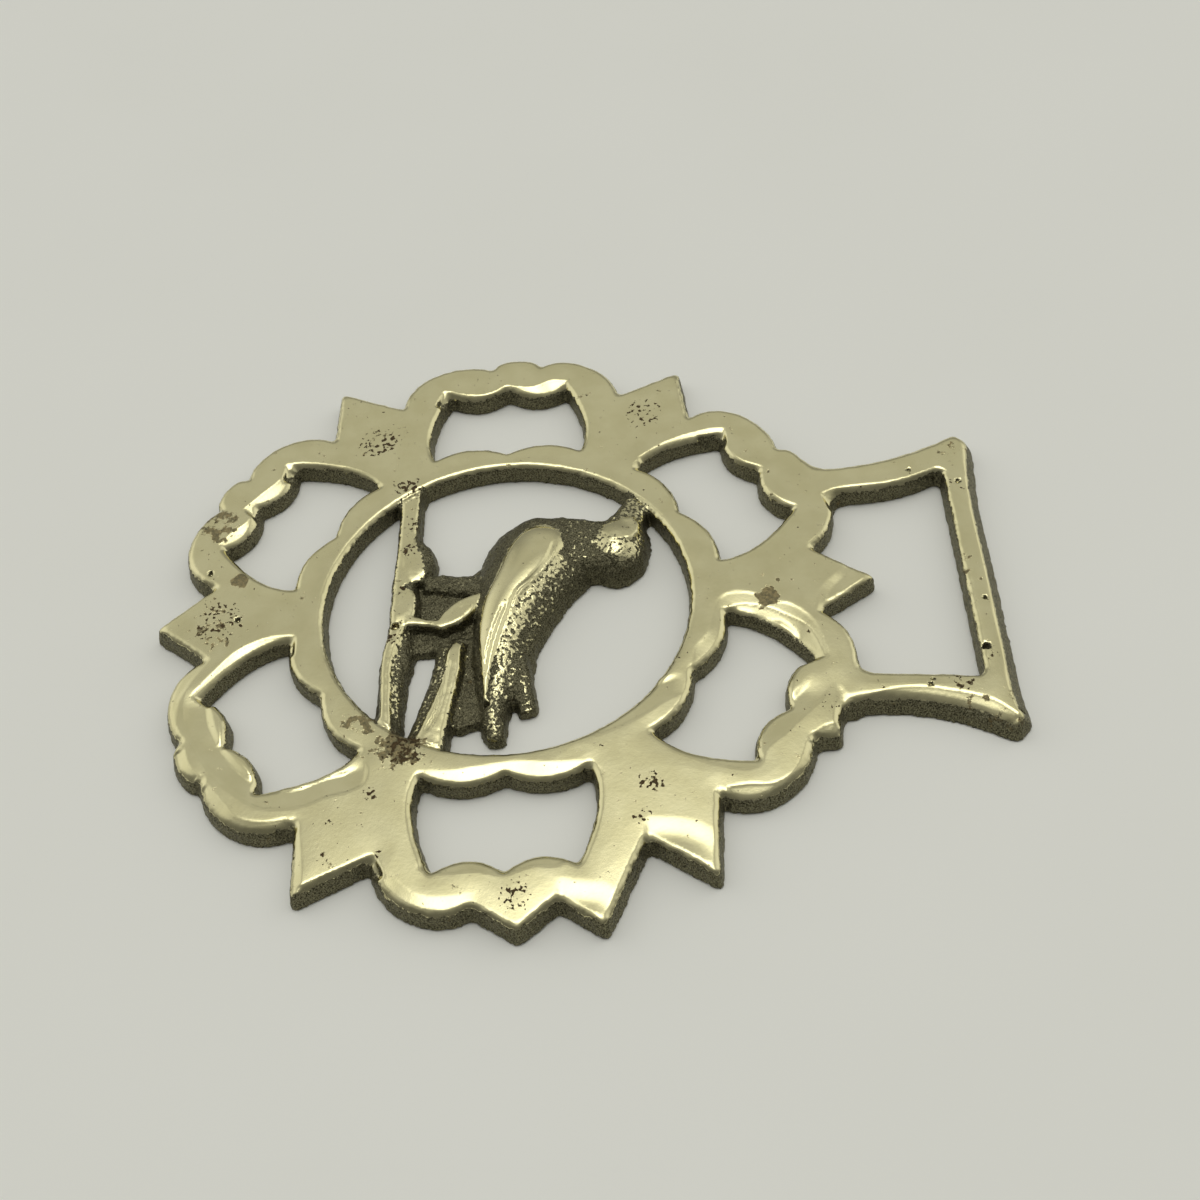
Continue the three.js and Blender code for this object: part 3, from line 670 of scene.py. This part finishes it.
def beside(line, reach):
    """For each plan cell near a line: its distance, its side, and how far the line's nearer end is."""
    line = rail(line, 6)[:, :2]
    lengths = np.linalg.norm(np.diff(line, axis=0), axis=1)
    nearest, side, along = np.full(plan_size, reach), np.zeros(plan_size), np.zeros(plan_size)
    for start, end, length, before in zip(line, line[1:], lengths, np.cumsum(lengths) - lengths):
        lowest, highest = np.minimum(start, end) - reach, np.maximum(start, end) + reach
        rows, columns = span(PLAN_X, lowest[0], highest[0]), span(PLAN_Y, lowest[1], highest[1])
        x, y = PLAN_X[rows, None] - start[0], PLAN_Y[None, columns] - start[1]
        ahead = (end - start) / length
        forward, left = x * ahead[0] + y * ahead[1], y * ahead[0] - x * ahead[1]
        distance = to_segment((0, 0), end - start, x, y)
        closer = distance < nearest[rows, columns]
        nearest[rows, columns][closer] = distance[closer]
        side[rows, columns][closer] = left[closer]
        along[rows, columns][closer] = before + forward[closer]
    return nearest, side, np.minimum(along, lengths.sum() - along)


def drop_beyond(line, step, slope, end=FACET_END, width=CREASE_WIDTH):
    """Plan map of how far the face drops on the left of a crease, fading in over `end` mm at its ends."""
    nearest, side, from_end = beside(line, FACET_REACH)
    fade = smoothstep(from_end, 0, end) * smoothstep(FACET_REACH - nearest, 0, FADE)
    drop = step * smoothstep(nearest, 0, width) + slope * nearest
    return np.where(side > 0, drop * fade, 0)


def valley(depth, width, line):
    """Plan map of the depth of a smooth valley along a line."""
    nearest, _, from_end = beside(line, 2 * width)
    return depth * smoothstep(nearest, 2 * width, 0) * smoothstep(from_end, 0, FADE)


def spread(places):
    """Plan map that is highest at each of the places x, y, radius, strength."""
    plan = np.zeros(plan_size)
    for x, y, radius, strength in places:
        plan = np.maximum(plan, strength * smoothstep(distance_from(x, y), radius, PLACE_CORE * radius))
    return plan


def pit_depths():
    """Plan map of the depth of the larger pits."""
    return sum(
        depth * smoothstep(distance_from(x, y), radius, HOLE_FLOOR * radius)
        for x, y, radius, depth in HOLES
    )


def polished_face():
    """Plan map of the height of the polished face, with its facets and rounded edges."""
    facets = sum(drop_beyond(**facet) for facet in FACETS)
    height = FACE_HEIGHT - facets - sum(valley(*hollow) for hollow in HOLLOWS)
    for depth, (width, slope) in ((-pierced, WINDOW_BEVEL), (outer_depth, OUTER_BEVEL)):
        height = height - slope * np.maximum(width - depth, 0)
    to_edge = np.minimum(-pierced, outer_depth)
    width, fall, most = DISH
    height = height - fall * np.clip(1 - to_edge / width, 0, most) ** 2
    level = np.zeros(plan_size)
    sway = noise(PLAN_X[:, None] + level, PLAN_Y[None] + level, level, SWAY)
    return smoothed(np.minimum(height + sway, FACE_HEIGHT), 1)


def feet_of(sections):
    """Outline of a loft's two feet, in plan."""
    belly, _, back = zip(*sections)
    return [point[:2] for point in (*belly, *reversed(back))]


def bird_polish_map():
    """Plan map of how far the bird was polished: flecks show where it is near a half."""
    dull = np.maximum.reduce([depth_inside(outline) for outline in DULL])
    polish = LOW_POLISH * low_polish * smoothstep(dull, *DULL_EDGE)
    polish = np.maximum(polish, smoothstep(depth_inside(feet_of(WING)), *WING_EDGE))
    polish = np.maximum(polish, HEAD_POLISH * smoothstep(depth_inside(HEAD_FACET), *HEAD_EDGE))
    for fleck in FLECKED:
        flecked = smoothstep(depth_inside(fleck["outline"]), *FLECK_EDGE)
        polish = np.maximum(polish, fleck["strength"] * flecked)
    return polish


# --------------------------------------------------- maps of the whole casting

plaque_depth = depth_inside(plaque_outline())
loop_depth = depth_inside(loop_outline())
slot_depth = depth_inside(slot_outline())
windows = [depth_inside(window_outline(petal["axis"])) for petal in PETALS]
from_middle = distance_from(0, 0)
pierced = smoothed(np.maximum.reduce([*windows, RING_BORE - from_middle]), BORE_PASSES)

outer_depth = soft_max(plaque_depth, np.minimum(loop_depth, -slot_depth), LOOP_BLEND)
outer_depth = smoothed(outer_depth, CORNER_PASSES)
outer_flare = np.where((loop_depth > plaque_depth) & (loop_depth < -slot_depth), LOOP_FLARE, RIM_FLARE)
outer_flare[(slot_depth > plaque_depth) & (slot_depth > -SLOT_WALL)] = PIERCED_DRAFT
outer_flare = smoothed(outer_flare, FLARE_PASSES)
face_height = polished_face()
rough_bar = smoothstep(depth_inside(ROUGH_BAR), *BAR_EDGE)
hole_depth = pit_depths()

low_parts = np.maximum.reduce([ridge(line) for line in (THIGH, SHANK, FRONT_TOES, BACK_TOES, BRANCH, TWIG)])
low_parts = soft_min(low_parts, POLISHED_LEVEL, LEVEL_BLEND)
bird_height = np.maximum.reduce([
    lofted(WING), low_parts, lofted(BODY), head_height(), ridge(NECK), ridge(BEAK), ridge(TAIL_PRONG),
    ridge(FRONT_LEG), ridge(BRANCH_FLANK, FLANK_CROWN), ridge(TWIG_FLANK, FLANK_CROWN),
    web_height(LEG_WEB), web_height(TAIL_WEB),
])
standing_out = smoothstep(low_parts - bird_height, *LOW_STANDING)
low_polish = standing_out * smoothstep(low_parts, *LOW_HEIGHTS)
into_ring = smoothstep(from_middle - RING_BORE, *RING_JOIN)
grooves = sum(valley(*GROOVE, line) for line in GROOVES)
bird_height = smoothed(bird_height, 2) - grooves - RING_SINK * into_ring
slope_x, slope_y = np.gradient(bird_height, PLAN_STEP)
bird_scale = 1 / np.sqrt(1 + smoothed(slope_x**2 + slope_y**2, 2))      # turns heights into distances
bird_scale = bird_scale + (1 - bird_scale) * into_ring
on_bird = smoothed(((bird_height > BIRD_LOWEST) & (pierced > -RING_OVERLAP)).astype(float), 1)
bird_polish = bird_polish_map()
pitting, staining = np.maximum(spread(PITTED), SCATTERED), spread(STAINED)


# ---------------------------------------------------------------- surface

VOXEL = 0.23               # spacing of the surface
MOST_TRIANGLES = 196_000   # reached by thinning the flat back
BACK_TOP = 0.1             # up to which height the back is thinned
SETTLING_PASSES = 3
LEAST_STEEPNESS = 0.2      # keeps a point from being thrown far where the metal's depth hardly changes


def metal(x, y, z):
    """How deep a point lies in the metal, in mm: negative outside it."""
    lean = np.clip(1 - z / FACE_HEIGHT, 0, 1)
    walls = np.minimum(
        sampled(outer_depth, x, y) + sampled(outer_flare, x, y) * lean,
        PIERCED_DRAFT * lean - sampled(pierced, x, y),
    )
    rough = noise(x, y, z, ROUGHNESS)
    face = sampled(face_height, x, y) - z + rough * sampled(rough_bar, x, y)
    plate = soft_min(face, walls + rough, EDGE_BLEND)
    unpolished = 1 - np.clip(sampled(bird_polish, x, y), 0, 1)
    bird = (sampled(bird_height, x, y) - z) * sampled(bird_scale, x, y)
    bird = bird + BIRD_ROUGHNESS * rough * unpolished
    return np.minimum(soft_max(plate, bird, JOIN_BLEND) - sampled(hole_depth, x, y), z)


def gradient(x, y, z, reach=0.03):
    """How the depth in the metal changes for each mm along x, y and z."""
    return np.stack([
        metal(x + reach, y, z) - metal(x - reach, y, z),
        metal(x, y + reach, z) - metal(x, y - reach, z),
        metal(x, y, z + reach) - metal(x, y, z - reach),
    ], -1) / (2 * reach)


def settled(points):
    """Points moved onto the casting's surface."""
    for _ in range(SETTLING_PASSES):
        depth, uphill = metal(*points.T), gradient(*points.T)
        steepness = np.maximum((uphill**2).sum(1), LEAST_STEEPNESS)
        step = np.clip(depth / steepness, -VOXEL / 2, VOXEL / 2)
        points = points - step[:, None] * uphill
    return points


def placed(name, data):
    """A new object in the scene that shows the data."""
    item = bpy.data.objects.new(name, data)
    bpy.context.scene.collection.objects.link(item)
    return item


def mesh_of(name, points, faces):
    mesh = bpy.data.meshes.new(name)
    mesh.from_pydata(points, [], faces)
    return mesh


def thinned(mesh, back):
    """The mesh with as few triangles as allowed, taken from its vertices in `back`."""
    carrier = placed("fine", mesh)
    carrier.vertex_groups.new(name="back").add(back, 1.0, "REPLACE")
    thin = carrier.modifiers.new("thin", "DECIMATE")
    thin.vertex_group = "back"
    thin.ratio = MOST_TRIANGLES / (2 * len(mesh.polygons))
    seen = carrier.evaluated_get(bpy.context.evaluated_depsgraph_get())
    coarse = bpy.data.meshes.new_from_object(seen)
    bpy.data.objects.remove(carrier)
    bpy.data.meshes.remove(mesh)
    return coarse


def casting_mesh():
    """The casting's surface, in mm from the middle of the plaque."""
    extent = zip((*plan_low, -2 * VOXEL), (PLAN_X[-1], PLAN_Y[-1], high[2] + 3 * VOXEL))
    x, y, levels = (np.arange(start, stop, VOXEL) for start, stop in extent)
    depth = np.stack([metal(x[:, None], y[None], z) for z in levels], -1)
    grid = openvdb.FloatGrid(1.0)
    grid.copyFromArray(np.clip(-depth, -1, 1).astype(np.float32))
    points, quads = grid.convertToQuads(0.0)
    points = settled(points.astype(float) * VOXEL + (x[0], y[0], levels[0]))
    return thinned(mesh_of("casting", points, quads), np.flatnonzero(points[:, 2] < BACK_TOP).tolist())


def coordinates(mesh):
    flat = np.empty(3 * len(mesh.vertices))
    mesh.vertices.foreach_get("co", flat)
    return flat.reshape(-1, 3)


def polish_of(x, y, z, up):
    """How far each point was polished: 1 on the faces, 0 on the rough casting."""
    plate = smoothstep(up, *FACE_UPWARD) * smoothstep(z, *FACE_LEVEL) * (1 - sampled(rough_bar, x, y))
    bird = sampled(bird_polish, x, y) * smoothstep(up, *BIRD_UPWARD)
    return np.where(sampled(on_bird, x, y) > 0.5, bird, plate)


def casting():
    mesh = casting_mesh()
    points = settled(coordinates(mesh))
    normals = -gradient(*points.T)
    normals /= np.maximum(np.linalg.norm(normals, axis=1), 1e-9)[:, None]
    x, y, z = points.T
    marks = dict(
        polish=polish_of(x, y, z, normals[:, 2]), pitting=sampled(pitting, x, y),
        stain=sampled(staining, x, y), grime=sampled(on_bird, x, y),
    )
    for name, values in marks.items():
        attribute = mesh.attributes.new(name, "FLOAT", "POINT")
        attribute.data.foreach_set("value", values.astype(np.float32))
    in_frame = np.clip(points + (*MIDDLE, 0), low, high) * MM
    mesh.vertices.foreach_set("co", in_frame.ravel())
    mesh.shade_smooth()
    mesh.normals_split_custom_set_from_vertices(normals)
    mesh.update()
    mesh.materials.clear()
    mesh.materials.append(brass_material())
    return placed("casting", mesh)


# -------------------------------------------------------------- materials
# Colours, in pairs where noise mixes two of them.

CLEAN_BRASS = [(0.73, 0.68, 0.40, 1), (0.67, 0.62, 0.35, 1)]
TARNISH = [(0.035, 0.032, 0.018, 1), (0.32, 0.30, 0.185, 1)]
GRIME = (0.035, 0.030, 0.014, 1)
RUST = [(0.10, 0.084, 0.044, 1), (0.24, 0.185, 0.085, 1)]
PIT = (0.085, 0.060, 0.030, 1)
TABLE = [(0.89, 0.89, 0.82, 1), (0.92, 0.92, 0.855, 1)]

GRIME_COVER = 0.3          # how much of the tarnish the grime on the bird hides
RUST_COVER = 0.85          # and the rust of the brass
BRIGHT_EDGE = (0.47, 0.53)     # polish, raised by the grain, at which tarnish turns to clean brass
PIT_LEVELS = (0.82, 0.50)      # noise over which a pit starts, where pitting is 0 and where it is 1
PIT_EDGE = (0.0, 0.03)
STAIN_EDGE = (0.42, 0.62)
DULL_TO_CLEAN = (0.5, 0.13)    # roughness
BUMP_HEIGHT = 0.18         # mm
BUMP_BY_SHINE = (1.0, 0.03)    # strength of the bumps on tarnish and on clean brass
BUMP_BY_POLISH = (0.3, 0.0)    # and at least this, on flecked and on fully polished metal
FINE_SHARE = 0.35          # of the fine noise in the bumps
TABLE_ROUGHNESS = 0.7
TABLE_REACH = 1.5          # metres, to each side


def nodes_of(name):
    material = bpy.data.materials.new(name)
    material.use_nodes = True
    tree = material.node_tree
    shader = next(node for node in tree.nodes if node.type == "BSDF_PRINCIPLED")
    return material, tree, shader


def add(tree, kind, inputs=None, **settings):
    """A node with its settings and inputs; an input that is a socket is linked."""
    node = tree.nodes.new("ShaderNode" + kind)
    for key, value in settings.items():
        setattr(node, key, value)
    for key, value in (inputs or {}).items():
        if isinstance(value, bpy.types.NodeSocket):
            tree.links.new(value, node.inputs[key])
        else:
            node.inputs[key].default_value = value
    return node


def noise_node(tree, coordinates, scale, detail=2.0):
    """Noise with `scale` bumps to a millimetre."""
    inputs = {"Vector": coordinates, "Scale": scale / MM, "Detail": detail}
    return add(tree, "TexNoise", inputs).outputs["Fac"]


def ramp(tree, value, start, stop, at_start=0.0, at_stop=1.0):
    inputs = {"Value": value, "From Min": start, "From Max": stop, "To Min": at_start, "To Max": at_stop}
    return add(tree, "MapRange", inputs).outputs["Result"]


def swing(tree, noise, reach):
    """Noise spread out from -reach to reach."""
    return ramp(tree, noise, 0.25, 0.75, -reach, reach)


def calculate(tree, operation, a, b):
    return add(tree, "Math", {0: a, 1: b}, operation=operation).outputs[0]


def mixed(tree, factor, a, b):
    node = add(tree, "Mix", {0: factor, 6: a, 7: b}, data_type="RGBA")
    return node.outputs[2]


def mottled(tree, noise, colours):
    return mixed(tree, ramp(tree, noise, 0.35, 0.65), *colours)


def brass_material():
    material, tree, shader = nodes_of("worn_brass")
    place = add(tree, "TexCoord").outputs["Object"]
    names = ("polish", "pitting", "stain", "grime")
    marks = (add(tree, "Attribute", attribute_name=name).outputs["Fac"] for name in names)
    polish, pitting, stain, grime = marks
    grain, fine, broad = (noise_node(tree, place, scale, 3.0) for scale in (3.0, 8.0, 0.35))

    bright = ramp(tree, calculate(tree, "ADD", polish, swing(tree, grain, 0.5)), *BRIGHT_EDGE)
    threshold = ramp(tree, pitting, 0, 1, *PIT_LEVELS)
    over_threshold = calculate(tree, "SUBTRACT", noise_node(tree, place, 2.4, 4.0), threshold)
    pits = ramp(tree, over_threshold, *PIT_EDGE)
    ragged_stain = calculate(tree, "ADD", stain, swing(tree, noise_node(tree, place, 1.2, 5.0), 0.6))
    stained = ramp(tree, ragged_stain, *STAIN_EDGE)

    grimy = calculate(tree, "MULTIPLY", grime, GRIME_COVER)
    tarnish = mixed(tree, grimy, mottled(tree, fine, TARNISH), GRIME)
    colour = mixed(tree, bright, tarnish, mottled(tree, broad, CLEAN_BRASS))
    rusty = calculate(tree, "MULTIPLY", stained, RUST_COVER)
    colour = mixed(tree, rusty, colour, mottled(tree, grain, RUST))
    colour = mixed(tree, pits, colour, PIT)
    tree.links.new(colour, shader.inputs["Base Color"])
    shader.inputs["Metallic"].default_value = 1.0

    spoiled = calculate(tree, "MAXIMUM", pits, stained)
    clean = calculate(tree, "MULTIPLY", bright, calculate(tree, "SUBTRACT", 1.0, spoiled))
    tree.links.new(ramp(tree, clean, 0, 1, *DULL_TO_CLEAN), shader.inputs["Roughness"])
    texture = calculate(tree, "ADD", grain, calculate(tree, "MULTIPLY", fine, FINE_SHARE))
    height = calculate(tree, "SUBTRACT", texture, pits)
    by_shine = ramp(tree, clean, 0, 1, *BUMP_BY_SHINE)
    by_polish = ramp(tree, polish, 0.6, 0.9, *BUMP_BY_POLISH)
    strength = calculate(tree, "MAXIMUM", by_shine, by_polish)
    bump = add(tree, "Bump", {"Height": height, "Distance": BUMP_HEIGHT * MM, "Strength": strength})
    tree.links.new(bump.outputs["Normal"], shader.inputs["Normal"])
    return material


def table_material():
    material, tree, shader = nodes_of("pale_table")
    place = add(tree, "TexCoord").outputs["Object"]
    tree.links.new(mixed(tree, noise_node(tree, place, 0.03), *TABLE), shader.inputs["Base Color"])
    shader.inputs["Roughness"].default_value = TABLE_ROUGHNESS
    return material


# ------------------------------------------------ table, light and camera

CAMERA = dict(             # place in mm from the middle of the plaque, and the photo's right and up
    place=(97.04, 14.46, 117.34), right=(0.03117, 0.99678, -0.07381), up=(-0.76765, 0.07117, 0.63694),
)
LENS, SENSOR = 47.76, 36.0     # mm
LAMP = (-0.17, 0.0, 0.985)     # towards the brightest part of the ceiling
WINDOW = (-0.45, 0.78, 0.43)   # and towards a window, with another opposite it at -Y
SKY_TONES = [                  # cosine of the angle to the lamp, and brightness there
    (0.0, 0.32), (0.45, 0.34), (0.62, 0.43), (0.72, 0.54), (0.80, 0.60), (0.86, 0.52), (0.90, 0.70),
    (0.94, 1.15), (0.975, 2.4), (1.0, 3.0),
]
WARMTH = 0.97                  # blue in the ceiling's light, to a red and green of 1
WINDOW_LIGHT = (0.95, 0.95, 0.92, 1)
WINDOW_EDGE = (0.84, 0.97)     # cosines of the angle to a window between which it lights up
BEHIND = (-0.1, 0.5)           # towards +X, behind the camera, the room dims between these
BEHIND_STRENGTH = 0.45         # to this


def table():
    corners = [(-TABLE_REACH, -TABLE_REACH, 0), (TABLE_REACH, -TABLE_REACH, 0)]
    corners += [(TABLE_REACH, TABLE_REACH, 0), (-TABLE_REACH, TABLE_REACH, 0)]
    mesh = mesh_of("table", corners, [(0, 1, 2, 3)])
    mesh.materials.append(table_material())
    placed("table", mesh)


def camera():
    data = bpy.data.cameras.new("camera")
    data.lens, data.sensor_width = LENS, SENSOR
    data.clip_start, data.clip_end = 0.01, 20
    right, up = Vector(CAMERA["right"]), Vector(CAMERA["up"])
    x, y, z = CAMERA["place"]
    place = Vector((x + MIDDLE[0], y + MIDDLE[1], z)) * MM
    item = placed("camera", data)
    turn = Matrix((right, up, right.cross(up))).transposed().to_4x4()
    item.matrix_world = Matrix.Translation(place) @ turn
    bpy.context.scene.camera = item


def ceiling(tree, direction):
    """Light of the room by the angle to its lamp."""
    towards_lamp = add(tree, "VectorMath", {0: direction, 1: LAMP}, operation="DOT_PRODUCT")
    tones = add(tree, "ValToRGB", {0: towards_lamp.outputs["Value"]})
    elements = tones.color_ramp.elements
    for position, _ in SKY_TONES[1:-1]:
        elements.new(position)
    for element, (_, level) in zip(elements, SKY_TONES):
        element.color = (level, level, level * WARMTH, 1)
    return tones.outputs["Color"]


def window_glow(tree, axes):
    """How much of either window is seen: the two mirror each other across the plane y = 0."""
    sideways = add(tree, "Math", {0: axes["Y"]}, operation="ABSOLUTE").outputs[0]
    folded = add(tree, "CombineXYZ", {0: axes["X"], 1: sideways, 2: axes["Z"]}).outputs["Vector"]
    towards_window = add(tree, "VectorMath", {0: folded, 1: WINDOW}, operation="DOT_PRODUCT")
    return ramp(tree, towards_window.outputs["Value"], *WINDOW_EDGE)


def sky():
    """A soft room: brightest overhead, dimmer towards the horizon and behind the camera."""
    world = bpy.data.worlds.new("room")
    world.use_nodes = True
    tree = world.node_tree
    direction = add(tree, "TexCoord").outputs["Generated"]
    axes = add(tree, "SeparateXYZ", {0: direction}).outputs
    lit = mixed(tree, window_glow(tree, axes), ceiling(tree, direction), WINDOW_LIGHT)
    background = next(node for node in tree.nodes if node.type == "BACKGROUND")
    tree.links.new(lit, background.inputs["Color"])
    dimmed = ramp(tree, axes["X"], *BEHIND, 1.0, BEHIND_STRENGTH)
    tree.links.new(dimmed, background.inputs["Strength"])
    bpy.context.scene.world = world
    bpy.context.scene.view_settings.view_transform = "Standard"


# --------------------------------------------------------------- assembly

horse_brass = casting()
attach(horse_brass, "root")
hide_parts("horse_brass")

table()
camera()
sky()
